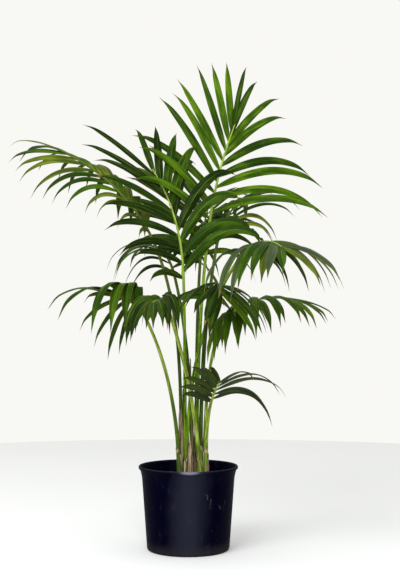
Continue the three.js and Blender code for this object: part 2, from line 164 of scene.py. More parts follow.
# materials
class Wire:
    # a node's output; sums and products of wires add the nodes that work them out
    def __init__(self, paint, socket):
        self.paint = paint
        self.socket = socket

    def work(self, operation, first, second):
        kinds = [w.socket.type for w in (first, second) if isinstance(w, Wire)]
        if "RGBA" in kinds:
            settings = {"data_type": "RGBA", "blend_type": operation}
            values = {0: 1.0, 6: spread(first, 4), 7: spread(second, 4)}
            return self.paint.node("Mix", settings, values, 2)
        if "VECTOR" in kinds:
            values = {0: spread(first, 3), 1: spread(second, 3)}
            return self.paint.node("VectorMath", {"operation": operation}, values)
        return self.paint.node("Math", {"operation": operation}, {0: first, 1: second})

    def __add__(self, other):
        return self.work("ADD", self, other)

    def __radd__(self, other):
        return self.work("ADD", other, self)

    def __sub__(self, other):
        return self.work("SUBTRACT", self, other)

    def __rsub__(self, other):
        return self.work("SUBTRACT", other, self)

    def __mul__(self, other):
        return self.work("MULTIPLY", self, other)

    def __rmul__(self, other):
        return self.work("MULTIPLY", other, self)


def spread(value, count):  # a number as a grey colour or an even vector
    if isinstance(value, (int, float)):
        return (value, value, value, 1)[:count]
    return value


class Paint:
    # one material and the nodes in it
    def __init__(self, name):
        self.material = bpy.data.materials.new(name)
        self.material.use_nodes = True
        self.tree = self.material.node_tree
        self.tree.nodes.clear()

    def node(self, kind, settings, values, output=0):
        made = self.tree.nodes.new("ShaderNode" + kind)
        for key, value in settings.items():
            if key == "stops":
                self.setStops(made.color_ramp, value)
            else:
                setattr(made, key, value)
        for key, value in values.items():
            if isinstance(value, Wire):
                self.tree.links.new(value.socket, made.inputs[key])
            else:
                made.inputs[key].default_value = value
        return Wire(self, made.outputs[output]) if len(made.outputs) else made

    def setStops(self, ramp, stops):
        while len(ramp.elements) < len(stops):
            ramp.elements.new(0.5)
        for element, (place, colour) in zip(ramp.elements, stops):
            element.position = place
            element.color = spread(colour, 4)

    def place(self):
        return self.node("TexCoord", {}, {}, "Object")

    def around(self):
        return self.node("TexCoord", {}, {}, "UV")

    def axis(self, where, letter):
        return self.node("SeparateXYZ", {}, {"Vector": where}, letter)

    def cloud(self, where, scale, detail, roughness=0.55):
        values = {"Vector": where, "Scale": scale, "Detail": detail, "Roughness": roughness}
        return self.node("TexNoise", {}, values)

    def stretched(self, where, scales):
        return self.node("Mapping", {}, {"Vector": where, "Scale": scales})

    def ramp(self, factor, low, high):  # 0 up to low, 1 from high on, eased between
        made = self.node("ValToRGB", {"stops": [(low, 0.0), (high, 1.0)]}, {"Fac": factor})
        made.socket.node.color_ramp.interpolation = "EASE"
        return self.node("SeparateColor", {}, {"Color": made})

    def mix(self, first, second, factor):
        values = {0: factor, 6: spread(first, 4), 7: spread(second, 4)}
        return self.node("Mix", {"data_type": "RGBA"}, values, 2)

    def near(self, where, spot, reach):  # 1 round the spot, fading to 0 at its reach
        far = self.node("VectorMath", {"operation": "DISTANCE"}, {0: where, 1: spot}, "Value")
        return 1 - self.ramp(far * (1 / reach), 0.3, 1.0)

    def streaks(self, look, detail):  # drawn out along a piece
        drawn = self.stretched(self.around(), look["streakStretch"])
        return self.cloud(drawn, look["streakScale"], detail)

    def finish(self, look, colour, rougher, height=None):
        values = {"Base Color": colour, "Roughness": look["roughness"] + rougher,
                  "Specular IOR Level": look["gloss"]}
        if height is not None:
            values["Normal"] = self.node("Bump", {}, {"Height": height, "Distance": look["bump"]})
        shader = self.node("BsdfPrincipled", {}, values)
        self.node("OutputMaterial", {}, {"Surface": shader})
        return self.material


leafLook = dict(
    young=dict(tone=(0.0350, 0.0820, 0.0004), gloss=0.045),
    fresh=dict(tone=(0.0200, 0.0520, 0.0006), gloss=0.045),
    mature=dict(tone=(0.0094, 0.0280, 0.0007), gloss=0.045),
    deep=dict(tone=(0.0042, 0.0125, 0.0006), gloss=0.05),
    # painted shade: a darker tone for the low frond
    dusky=dict(tone=(0.0038, 0.0085, 0.0012), gloss=0.08),
    sheen=dict(tone=(0.0080, 0.0160, 0.0026), gloss=0.13),
    old=dict(tone=(0.0320, 0.0510, 0.0040), gloss=0.07),
    # real gloss, with a painted bluish sheen in its colour
    glossy=dict(tone=(0.0115, 0.0240, 0.0055), gloss=0.30),
    under=dict(tone=(0.0190, 0.0430, 0.0030), gloss=0.05),
    midrib=dict(tone=(0.0270, 0.0640, 0.0040), gloss=0.08),
    edge=dict(tone=(0.0420, 0.0430, 0.0100), gloss=0.06),
    dryTip=dict(tone=(0.0950, 0.0660, 0.0300), gloss=0.06),
)
leafFinish = dict(
    veinStretch=(26.0, 0.35, 1.0), veinScale=3.0, veinDepth=0.15,
    # the streaks, the patches and the pale tone make a painted sheen along each leaflet, mixed with its own
    # mottle
    streakStretch=(3.4, 0.3, 1.0), streakScale=1.6, streakShare=0.75, drift=5.0,
    mottleScale=16.0, sheenPatchStops=(0.44, 0.62), sheenPatchDepth=0.9,
    sheenTimes=(3.4, 2.8, 1.6), sheenPlus=(0.008, 0.012, 0.002),
    roughness=0.32, rougher=0.2, mottleBump=0.4, bump=0.0006,
)


def leafPaint(name):
    look = dict(leafFinish, **leafLook[name])
    paint = Paint("leaf_" + name)
    veins = paint.cloud(paint.stretched(paint.around(), look["veinStretch"]), look["veinScale"], 2.0)
    drift = paint.stretched(paint.around(), look["streakStretch"]) + paint.place() * look["drift"]
    streaks = paint.cloud(drift, look["streakScale"], 4.0)
    mottle = paint.cloud(paint.place(), look["mottleScale"], 5.0)
    # pale streaks and patches: a painted sheen along the leaflet, mixed with the leaf's own mottle and
    # veins
    pale = [part * times + plus
            for part, times, plus in zip(look["tone"], look["sheenTimes"], look["sheenPlus"])]
    sheenPatches = streaks * look["streakShare"] + mottle * (1 - look["streakShare"])
    sheenPatches = paint.ramp(sheenPatches, *look["sheenPatchStops"]) * look["sheenPatchDepth"]
    colour = paint.mix((*look["tone"], 1), (*pale, 1), sheenPatches + veins * look["veinDepth"])
    return paint.finish(look, colour, mottle * look["rougher"], veins + mottle * look["mottleBump"])


# the foot's tone comes in between two heights, the upper one first; the rib's comes in higher up
stalkLook = dict(
    pale=dict(light=(0.410, 0.530, 0.070, 1), dark=(0.045, 0.090, 0.004, 1),
              rib=(0.400, 0.500, 0.090, 1), foot=(0.060, 0.100, 0.012, 1)),
    leaning=dict(light=(0.410, 0.530, 0.070, 1), dark=(0.045, 0.090, 0.004, 1),
                 rib=(0.400, 0.500, 0.090, 1), foot=(0.032, 0.072, 0.003, 1),
                 footHeights=(0.50, 0.36), footShare=0.65),
    green=dict(light=(0.210, 0.400, 0.008, 1), dark=(0.006, 0.024, 0.0005, 1),
               rib=(0.360, 0.460, 0.080, 1), foot=(0.060, 0.105, 0.010, 1)),
    shaded=dict(light=(0.055, 0.110, 0.003, 1), dark=(0.004, 0.016, 0.0005, 1),
                rib=(0.140, 0.170, 0.028, 1), foot=(0.060, 0.100, 0.012, 1)),
)
stalkFinish = dict(
    footHeights=(0.46, 0.19), footShare=0.2, footMottle=0.5, ribHeights=(0.50, 0.92),
    streakStretch=(9.0, 0.012, 1.0), streakScale=2.0, streakStops=(0.38, 0.58), streakShare=0.8,
    mottleScale=22.0, roughness=0.36, rougher=0.2, gloss=0.1, bump=0.0008,
)


def stalkPaint(tone):
    look = dict(stalkFinish, **stalkLook[tone])
    paint = Paint("stalk_" + tone)
    streaks = paint.streaks(look, 4.0)
    mottle = paint.cloud(paint.place(), look["mottleScale"], 3.0)
    height = paint.axis(paint.place(), "Z")
    footTop, footEnd = look["footHeights"]
    low = paint.node("MapRange", {"interpolation_type": "SMOOTHSTEP"},
                     {"Value": height, "From Min": footTop, "From Max": footEnd})
    dark = paint.ramp(streaks, *look["streakStops"]) * look["streakShare"]
    green = paint.mix(look["light"], look["dark"], dark + mottle * (1 - look["streakShare"]))
    ribbed = paint.mix(green, look["rib"], paint.ramp(height, *look["ribHeights"]) * (1.05 - mottle))
    colour = paint.mix(ribbed, look["foot"], low * (look["footShare"] + mottle * look["footMottle"]))
    return paint.finish(look, colour, mottle * look["rougher"], streaks)


dryLook = dict(
    pale=(0.44, 0.33, 0.21, 1), brown=(0.050, 0.026, 0.015, 1), grey=(0.22, 0.17, 0.12, 1),
    weathered=(0.060, 0.046, 0.020, 1), weatheredHeights=(0.25, 0.34),
    streakStretch=(6.0, 0.16, 1.0), streakScale=3.0, streakStops=(0.42, 0.58),
    mottleScale=60.0, greyStops=(0.5, 0.75), greyShare=0.5,
    roughness=0.75, rougher=0.2, gloss=0.25, mottleBump=0.5, bump=0.0015,
)


def dryPaint():
    look = dryLook
    paint = Paint("dry_sheath_fibre")
    streaks = paint.streaks(look, 6.0)
    mottle = paint.cloud(paint.place(), look["mottleScale"], 4.0)
    base = paint.mix(look["brown"], look["pale"], paint.ramp(streaks, *look["streakStops"]))
    greyed = paint.mix(base, look["grey"], paint.ramp(mottle, *look["greyStops"]) * look["greyShare"])
    high = paint.ramp(paint.axis(paint.place(), "Z"), *look["weatheredHeights"])
    colour = paint.mix(greyed, look["weathered"], high * (1.1 - mottle))
    return paint.finish(look, colour, mottle * look["rougher"], streaks + mottle * look["mottleBump"])


# places and heights are in metres, and the place of the painted highlight under the lip is where its
# flattening has stretched it to; the sheen band down the middle and the lighter top edge of the lip are
# painted light too
potLook = dict(
    plastic=(0.0002, 0.0001, 0.0052, 1), dust=(0.0050, 0.0038, 0.0062, 1), dustStops=(0.45, 0.80),
    # painted sheen: a paler, bluer band down the middle of the pot
    paintedSheen=(0.0135, 0.0145, 0.0250, 1), paintedSheenMiddle=0.003, paintedSheenStops=(0.040, 0.100),
    paleFoot=(0.0170, 0.0155, 0.0180, 1), paleFootHeights=(0.004, 0.034),
    scuff=(0.105, 0.105, 0.125, 1), scuffPlace=(0.070, -0.092, 0.136), scuffReach=0.050,
    # painted highlight: a bluish-grey spot under the front of the lip
    paintedHighlight=(0.170, 0.172, 0.220, 1), paintedHighlightPlace=(0.008, -0.126, 1.065), paintedHighlightReach=0.062,
    paintedHighlightFlat=(1.5, 1, 5), rimHighlight=(0.040, 0.040, 0.055, 1), rimHighlightHeights=(0.2105, 0.2135),
    grainScale=900.0, broadScale=9.0, strokeStretch=(26.0, 26.0, 9.0), strokeScale=2.6,
    strokeStops=(0.57, 0.65), speckScale=60.0, speckStops=(0.05, 0.14), speckZones=(0.46, 0.60),
    roughness=0.40, gloss=0.01, bump=0.0004,
)


def potPaint():
    look = potLook
    paint = Paint("pot_plastic")
    where = paint.place()
    grain = paint.cloud(where, look["grainScale"], 2.0)
    broad = paint.cloud(where, look["broadScale"], 4.0)
    strokes = paint.cloud(paint.stretched(where, look["strokeStretch"]), look["strokeScale"], 5.0, 0.75)
    specks = paint.node("TexVoronoi", {}, {"Vector": where, "Scale": look["speckScale"]}, "Distance")
    speck = (1 - paint.ramp(specks, *look["speckStops"])) * paint.ramp(broad, *look["speckZones"])
    zone = paint.near(where, look["scuffPlace"], look["scuffReach"])
    # a painted highlight under the front of the lip, squeezed into a flat band
    paintedHighlight = paint.near(paint.stretched(where, look["paintedHighlightFlat"]), look["paintedHighlightPlace"], look["paintedHighlightReach"])
    # a painted sheen: a paler upright band down the middle of the pot, with blotchy edges
    aside = paint.axis(where, "X") - look["paintedSheenMiddle"]
    across = paint.node("Math", {"operation": "ABSOLUTE"}, {0: aside})
    high = paint.axis(where, "Z")
    marks = paint.ramp(strokes, *look["strokeStops"]) * (0.04 + zone * 0.6) + speck * (0.15 + zone * 0.6)
    dusted = paint.mix(look["plastic"], look["dust"], paint.ramp(broad, *look["dustStops"]) * 0.25)
    paintedSheenBand = 1 - paint.ramp(across + broad * 0.07, *look["paintedSheenStops"])
    paintedSheen = paint.mix(dusted, look["paintedSheen"], paintedSheenBand * (0.45 + broad * 0.8))
    # paler towards the bottom, in patches
    paleFootShare = (1 - paint.ramp(high, *look["paleFootHeights"])) * (0.2 + broad)
    paleFoot = paint.mix(paintedSheen, look["paleFoot"], paleFootShare)
    scuffed = paint.mix(paleFoot, look["scuff"], marks)
    highlighted = paint.mix(scuffed, look["paintedHighlight"], paintedHighlight * paintedHighlight * paintedHighlight * (0.3 + broad))
    # a painted highlight along the top edge of the lip, broken up by the streaks
    rimHighlightMask = paint.ramp(high, *look["rimHighlightHeights"]) * (strokes * 1.2 - 0.1)
    colour = paint.mix(highlighted, look["rimHighlight"], rimHighlightMask)
    return paint.finish(look, colour, broad * 0.16 + marks * 0.2, grain * 0.35 + strokes)


soilLook = dict(
    dark=(0.014, 0.008, 0.006, 1), brown=(0.060, 0.032, 0.018, 1), bark=(0.110, 0.056, 0.030, 1),
    crumbScale=260.0, crumbStops=(0.42, 0.66), broadScale=40.0,
    roughness=0.85, rougher=0.12, gloss=0.2, bump=0.002,
)


def soilPaint(name, low, high):
    look = soilLook
    paint = Paint(name)
    crumbs = paint.cloud(paint.place(), look["crumbScale"], 5.0, 0.7)
    broad = paint.cloud(paint.place(), look["broadScale"], 3.0)
    colour = paint.mix(look[low], look[high], paint.ramp(crumbs, *look["crumbStops"]) * (0.4 + broad * 0.6))
    return paint.finish(look, colour, crumbs * look["rougher"], crumbs)


def floorPaint():
    paint = Paint("studio_floor")
    weave = paint.cloud(paint.place(), studio["weaveScale"], 4.0)
    colour = paint.mix(studio["floorColour"], studio["floorShade"], weave * studio["weaveShare"])
    return paint.finish(studio, colour, 0)


leafPaints = {name: leafPaint(name) for name in leafLook}
stalkPaints = {tone: stalkPaint(tone) for tone in stalkLook}
dryFibre = dryPaint()
potPlastic = potPaint()
soilDark = soilPaint("soil_crumbs", "dark", "brown")
soilBark = soilPaint("bark_bits", "brown", "bark")
print("materials made")


def volumeOf(points, faces):
    fans = [(face[0], face[k], face[k + 1]) for face in faces for k in range(1, len(face) - 1)]
    a, b, c = points[np.array(fans)].transpose(1, 0, 2)
    return float((a * np.cross(b, c)).sum()) / 6


# gathers many small skins into one mesh
class Pile:
    def __init__(self):
        self.points = []
        self.faces = []
        self.slots = []
        self.uvs = []
        self.count = 0

    def add(self, points, faces, slots, uvs):
        points = np.asarray(points, float).reshape(-1, 3)
        if volumeOf(points, faces) < 0:  # a skin always faces out
            faces = [face[::-1] for face in faces]
            uvs = [face[::-1] for face in uvs]
        self.points.append(points)
        self.faces += [tuple(corner + self.count for corner in face) for face in faces]
        self.slots += list(slots)
        self.uvs += uvs
        self.count += len(self.points[-1])

    def build(self, name, paints, sharp=40):  # edges sharper than this many degrees stay crisp
        mesh = bpy.data.meshes.new(name)
        mesh.from_pydata((np.concatenate(self.points) * millimetre).tolist(), [], self.faces)
        for paint in paints:
            mesh.materials.append(paint)
        mesh.polygons.foreach_set("material_index", self.slots)
        mesh.polygons.foreach_set("use_smooth", [True] * len(self.faces))
        layer = mesh.uv_layers.new(name="along")
        flat = [part for face in self.uvs for pair in face for part in pair]
        layer.data.foreach_set("uv", flat)
        mesh.update()
        mesh.set_sharp_from_angle(angle=math.radians(sharp))
        piece = bpy.data.objects.new(name, mesh)
        bpy.context.collection.objects.link(piece)
        return piece


# rings of equal length joined into a closed skin, with a slot for each column of faces
def skinRings(pile, rings, columnSlots, lengths, rowSlot=None):
    size = len(rings[0])
    faces, slots, uvs = [], [], []
    for row in range(len(rings) - 1):
        low, high = lengths[row], lengths[row + 1]
        for column in range(size):
            a = row * size + column
            b = row * size + (column + 1) % size
            faces.append((a, b, b + size, a + size))
            slot = columnSlots[column % len(columnSlots)]
            slots.append(slot if rowSlot is None else rowSlot(row, slot))
            left, right = column / size, (column + 1) / size
            uvs.append([(left, low), (right, low), (right, high), (left, high)])
    last = (len(rings) - 1) * size
    faces.append(tuple(range(size - 1, -1, -1)))
    faces.append(tuple(last + i for i in range(size)))
    slots += [slots[0], slots[-1]]
    uvs += [[(0.5, lengths[0])] * size, [(0.5, lengths[-1])] * size]
    pile.add(np.concatenate(rings), faces, slots, uvs)


def chance(a, b, c):  # a repeatable number from -1 to 1
    x = math.sin(a * 12.9898 + b * 78.233 + c * 37.719) * 43758.5453
    return (x - math.floor(x)) * 2 - 1


def unit(vectors):
    return vectors / np.linalg.norm(vectors, axis=-1, keepdims=True)


def ahead(angle):  # a level direction
    return np.array([math.cos(angle), math.sin(angle), 0])


def circle(radius, height, sides):  # corners round the upright axis
    angles = np.linspace(0, 2 * math.pi, sides, endpoint=False)
    return np.stack([radius * np.cos(angles), radius * np.sin(angles), np.full(sides, float(height))], 1)


def powers(values, share):  # a sum of the share's rising powers
    return sum(value * share ** power for power, value in enumerate(values))


# the middle line of a frond, from the soil to the tip of its rib
def spineOf(frond, steps):
    total = frond["petiole"] + frond["rachis"]
    share = np.linspace(0, 1, steps + 1)
    along = share * total
    low = np.minimum(along / frond["petiole"], 1)
    rest = np.maximum(along - frond["petiole"], 0) / frond["rachis"]
    tilt = np.where(along <= frond["petiole"],
                    frond["lean"] + (frond["fork"] - frond["lean"]) * low ** frond["bend"],
                    frond["fork"] + (frond["arch"] - frond["fork"]) * rest ** frond["ease"])
    tilt = np.radians(tilt)
    heading = np.radians(frond["heading"] + frond["turn"] * share)
    dirs = np.stack([np.sin(tilt) * np.cos(heading), np.sin(tilt) * np.sin(heading), np.cos(tilt)], 1)
    hops = (dirs[:-1] + dirs[1:]) * (total / steps / 2)
    foot = np.array([*frond["foot"], growth["soilTop"] + growth["gap"]])
    points = foot + np.concatenate([np.zeros((1, 3)), np.cumsum(hops, 0)])
    return {"points": points, "dirs": dirs, "total": total, "steps": steps}


def spineAt(spine, along):
    x = min(max(along / spine["total"], 0), 1) * spine["steps"]
    i = min(int(x), spine["steps"] - 1)
    part = x - i
    point = spine["points"][i] * (1 - part) + spine["points"][i + 1] * part
    return point, unit(spine["dirs"][i] * (1 - part) + spine["dirs"][i + 1] * part)


# a place on a spine: its point, the way along it, and the level and upper directions across it
def crossAt(frond, spine, along):
    point, way = spineAt(spine, along)
    heading = math.radians(frond["heading"] + frond["turn"] * along / spine["total"])
    level = ahead(heading - math.pi / 2)
    up = np.cross(level, way if along > 0 else np.array([0, 0, 1]))  # the foot is cut level
    return point, way, level, up


# where a leaflet starts, its way out and its sizes, as in the solids
def leafletPlan(frond, spine, side, index, dLift, dOpen):
    rank = 0 if side < 0 else 1
    seed = frond["seed"]
    share = (index + growth["pairStarts"][rank]) / frond["pairs"]
    along = frond["petiole"] + frond["rachis"] * share ** growth["pairCurve"]
    point, way, level, up = crossAt(frond, spine, along)
    roll = math.radians(frond["roll"])
    span = level * math.cos(roll) + up * math.sin(roll)
    upper = np.cross(span, way)
    start, end = frond["open"][rank], frond["close"][rank]
    opening = start + (end - start) * share ** frond["narrow"]
    opening = math.radians(opening + growth["openJitter"] * chance(seed, index, side) + dOpen)
    start, end = frond["lift"][rank], frond["liftEnd"][rank]
    lift = start + (end - start) * share
    lift = math.radians(lift + growth["liftJitter"] * chance(seed, index, side + 3) + dLift)
    root, end = frond["root"][rank], frond["end"][rank]
    full = growth["fullAt"] ** 2
    swell = (growth["leafFull"] - end * full - root * (1 - full)) / (growth["fullAt"] - full)
    lengthShare = powers([root, swell, end - root - swell], share)
    lengthPart = 1 + growth["lengthJitter"] * chance(seed, index, side + 7)
    sagPart = 1 + growth["sagJitter"] * chance(seed, index, side + 11)
    outward = span * side * math.cos(lift) + upper * math.sin(lift)
    return {
        "point": point, "side": side, "rank": rank,
        "start": way * math.cos(opening) + outward * math.sin(opening),
        "across": way * math.sin(opening) - outward * math.cos(opening),
        "length": frond["leaf"][rank] * lengthShare * lengthPart,
        "width": frond["width"][rank] * powers(growth["widthCurve"], share),
        "sag": frond["sag"][rank] * powers(growth["sagCurve"], share) * sagPart,
    }


def leafletLine(plan, steps):
    t = np.linspace(0, 1, steps + 1)
    pull = np.zeros((steps + 1, 3))
    pull[:, 2] = -plan["sag"] * t ** growth["pullCurve"]
    ways = unit(plan["start"] + pull)
    hops = unit(ways[:-1] + ways[1:]) * (plan["length"] / steps)
    points = plan["point"] + np.concatenate([np.zeros((1, 3)), np.cumsum(hops, 0)])
    return t, points, ways


# a leaflet's settings in the solids are those whose tip lies on its frond's solid
def leafletInSolids(frond, spine, tree, side, index):
    for dOpen in growth["openTries"]:
        for dLift in growth["liftTries"]:
            plan = leafletPlan(frond, spine, side, index, dLift, dOpen)
            tip = leafletLine(plan, growth["leafSteps"])[1][-1] * millimetre
            if tree.find(tip)[2] < growth["tipReach"] * millimetre:
                return dLift, dOpen
    return None


# curves are powers, folds are drops for each millimetre out, and browned runs from -1, none, to 1, all
leafShape = dict(
    rows=26, columns=[-1, -0.9, -0.6, -0.3, -0.05, 0, 0.05, 0.3, 0.6, 0.9, 1],
    pleats=[0, 0.15, -0.1, 0.25, 0, 0.5, 0, 0.25, -0.1, 0.15, 0], pleatReach=6, underPleats=0.4,
    thickness=0.7, edge=0.3, thinReach=2,
    footFold=0.42, tipFold=0.14, foldCurve=0.6, foldSpread=1.15,
    footCurve=0.5, footLeast=0.02, tipCurve=0.75, tipLeast=0.0004, fullShape=0.49,
    dripStart=0.78, dripNarrow=0.62, dripDroop=9, droopLeast=0.4, droopPerSag=0.35,
    sagMost=3, twist=13, ripple=0.035, rippleWaves=17, rippleCurve=3,
    driedFrom=0.945, driedSpread=0.055, browned=-0.2, tonePick=1.4999,
)
paintLength = 0.02  # how far a paint's streaks run on a millimetre
leafSlots = {"under": 3, "midrib": 4, "edge": 5, "dryTip": 6}


# one leaflet: a folded blade with a raised midrib, faint pleats and a drooping hair-thin tip
def addLeaflet(pile, frond, plan, index):
    look, side, seed = leafShape, plan["side"], frond["seed"]
    t, points, ways = leafletLine(plan, look["rows"])
    drip = np.clip((t - look["dripStart"]) / (1 - look["dripStart"]), 0, 1)
    drip = drip * drip * (3 - 2 * drip)
    droop = look["droopLeast"] + min(frond["sag"][plan["rank"]], look["sagMost"]) * look["droopPerSag"]
    points = points - np.outer(drip ** 2, [0, 0, look["dripDroop"] * droop])
    flat = unit(plan["across"] - ways * (ways @ plan["across"])[:, None])
    top = np.cross(ways, flat) * side
    twist = math.radians(look["twist"] * chance(seed, index, side + 17)) * t[:, None]
    flat, top = flat * np.cos(twist) + top * np.sin(twist), top * np.cos(twist) - flat * np.sin(twist)
    foot = np.maximum(t, look["footLeast"]) ** look["footCurve"]
    tip = np.maximum(1 - t, look["tipLeast"]) ** look["tipCurve"]
    reach = plan["width"] / 2 * foot * tip / look["fullShape"] * (1 - look["dripNarrow"] * drip)
    fold = look["footFold"] + (look["tipFold"] - look["footFold"]) * t ** look["foldCurve"]
    phase = chance(seed, index, side + 19) * math.pi
    u = np.array(look["columns"])
    wave = look["ripple"] * np.sin(t * look["rippleWaves"] + phase)[:, None]
    ripple = wave * np.sign(u) * np.abs(u) ** look["rippleCurve"]
    drop = reach[:, None] * (fold[:, None] * np.abs(u) ** look["foldSpread"] + ripple)
    relief = np.array(look["pleats"]) * np.minimum(1, reach / look["pleatReach"])[:, None]
    sheet = points[:, None] + flat[:, None] * (reach[:, None] * u)[:, :, None]
    upper = sheet + top[:, None] * (relief - drop)[:, :, None]
    thick = look["edge"] + (look["thickness"] - look["edge"]) * (1 - np.abs(u))
    thick = thick * np.minimum(1, reach / look["thinReach"])[:, None]
    lower = sheet + top[:, None] * (relief * look["underPleats"] - drop - thick)[:, :, None]
    rings = [np.concatenate([a, b[::-1]]) for a, b in zip(upper, lower)]

    leaf = int((chance(seed, index, side + 29) + 1) * look["tonePick"])  # one of the frond's three tones
    browned = chance(seed, index, side + 31) < frond.get("browned", look["browned"])
    edge = leafSlots["edge"] if browned else leaf
    size = len(u)
    columns = [leaf] * (2 * size)
    columns[size:2 * size - 1] = [leafSlots["under"]] * (size - 1)
    columns[size // 2 - 1] = columns[size // 2] = leafSlots["midrib"]
    for column in (0, size - 2, size - 1, 2 * size - 1):
        columns[column] = edge
    dried = look["driedFrom"] + look["driedSpread"] * abs(chance(seed, index, side + 23))

    def rowSlot(row, slot):
        if t[row + 1] > dried:
            return leafSlots["dryTip"]
        return leafSlots["midrib"] if row == 0 else slot

    skinRings(pile, rings, columns, t * plan["length"] * paintLength, rowSlot)


def makeLeaves(frond):
    spine = spineOf(frond, growth["spineSteps"])
    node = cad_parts["frond_" + frond["name"]]
    tree = kdtree.KDTree(len(node.data.vertices))
    for i, vertex in enumerate(node.data.vertices):
        tree.insert(vertex.co, i)
    tree.balance()
    pile = Pile()
    leftOut = 0
    for index in range(frond["pairs"]):
        for side in (-1, 1):
            found = leafletInSolids(frond, spine, tree, side, index)
            if found is None:
                leftOut += 1
                continue
            addLeaflet(pile, frond, leafletPlan(frond, spine, side, index, *found), index)
    shaded = {"under": frond.get("under", "under")}
    paints = [leafPaints[tone] for tone in frond["tones"]]
    paints += [leafPaints[shaded.get(part, part)] for part in leafSlots]
    piece = pile.build("leaves_" + frond["name"], paints)
    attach(piece, "root")
    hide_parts("frond_" + frond["name"])
    print("leaves", frond["name"], "faces", len(pile.faces), "left out", leftOut)


for frondItem in frondList:
    makeLeaves(frondItem)


# stalks: sheathing foot, channelled petiole and rib in one skin
stalkShape = dict(
    sides=18, rows=110, fine=240, groove=0.26, grooveWidth=0.55, uneven=0.03,
    sheathInset=0.5, kneeSwell=0.3, kneeShare=1 / 6, sharp=60,
)
stalkTones = dict(
    left_mid="leaning", right_mid="pale", low="pale", left_near="pale", left_top="shaded",
    front="shaded", back_right="shaded", back="shaded", back_left="shaded",
)


def stalkRadius(frond, along):
    sheath, petiole = growth["sheathLength"], frond["petiole"]
    if along < sheath:
        swell = (1 - along / sheath) ** growth["sheathCurve"]
        thicker = (growth["sheathFoot"] - growth["sheathEnd"]) * swell
        return growth["sheathEnd"] - stalkShape["sheathInset"] + thicker
    if along < petiole:
        share = (along - sheath) / (petiole - sheath)
        knee = stalkShape["kneeSwell"] * max(0, 1 - share / stalkShape["kneeShare"])
        return growth["petioleFoot"] + knee + (growth["petioleTip"] - growth["petioleFoot"]) * share
    share = min(1, (along - petiole) / frond["rachis"])
    return growth["petioleTip"] + (growth["ribTip"] - growth["petioleTip"]) * share


def makeStalk(frond):
    look = stalkShape
    spine = spineOf(frond, look["fine"])
    angles = np.linspace(0, 2 * math.pi, look["sides"], endpoint=False)
    dip = np.exp(-((angles - math.pi / 2) / look["grooveWidth"]) ** 2)
    wave = look["uneven"] * np.array([chance(frond["seed"], k, 3) for k in range(look["sides"])])
    pile = Pile()
    rings, lengths = [], []
    for row in range(look["rows"] + 1):
        along = spine["total"] * row / look["rows"]
        point, _, level, up = crossAt(frond, spine, along)
        reach = stalkRadius(frond, along) * (1 - look["groove"] * dip + wave)
        across, above = (reach * np.cos(angles))[:, None], (reach * np.sin(angles))[:, None]
        rings.append(point + level * across + up * above)
        lengths.append(along)
    skinRings(pile, rings, [0], lengths)
    tone = stalkTones.get(frond["name"], "green")
    piece = pile.build("stalk_" + frond["name"], [stalkPaints[tone]], look["sharp"])
    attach(piece, "root")
    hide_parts("petiole_" + frond["name"])


for frondItem in frondList:
    makeStalk(frondItem)
print("stalks made")


# the pot: a turned shell with a rolled lip
potShape = dict(
    height=214, flareHeight=39, neckRadius=118, baseRadius=106, axisRadius=0.01,
    baseRound=8, roundFrom=-75, roundSteps=7, baseRings=(40, 80),
    wall=2.4, wallRows=(0.08, 0.96, 12), wallTaper=0.6, floor=4, floorRing=60, corner=5,
    sides=144, smooth=4, sharp=50, weldReach=0.00005,
    drainCount=6, drainRadius=6, drainCircle=66, drainSides=24, drainOver=3,
    lipOutside=[[0, 0], [0.8, 8], [2.1, 16], [4.0, 24], [5.6, 29], [6.4, 31], [8.8, 31.8], [9.6, 33.4],
                [9.5, 37], [8.6, 38.7], [7.6, 39]],
    lipInside=[[5.6, 38.2], [2.9, 32], [0.4, 24], [-1.4, 14], [-2.4, 0]],
)


def arc(centre, radius, start, end, count):
    angles = np.radians(np.linspace(start, end, count))
    return [(centre[0] + radius * math.cos(a), centre[1] + radius * math.sin(a)) for a in angles]


def smoothLine(points, parts):  # a curve through every point
    line = np.array([points[0], *points, points[-1]], float)
    made = []
    for a, b, c, d in zip(line, line[1:], line[2:], line[3:]):
        for k in range(parts):
            t = k / parts
            made.append(0.5 * (2 * b + (c - a) * t + (2 * a - 5 * b + 4 * c - d) * t ** 2
                               + (3 * b - a - 3 * c + d) * t ** 3))
    return [tuple(point) for point in made] + [tuple(points[-1])]


def turnedSkin(pile, profile, sides):
    radii, heights = np.array(profile).T
    angles = np.linspace(0, 2 * math.pi, sides, endpoint=False)
    points = [np.stack([radii * math.cos(a), radii * math.sin(a), heights], 1) for a in angles]
    size = len(profile)
    faces, uvs = [], []
    for i in range(sides):
        left, right = i * size, (i + 1) % sides * size
        for k in range(size - 1):
            faces.append((left + k, right + k, right + k + 1, left + k + 1))
            uvs.append([(i / sides, k), ((i + 1) / sides, k), ((i + 1) / sides, k + 1), (i / sides, k + 1)])
    pile.add(points, faces, [0] * len(faces), uvs)


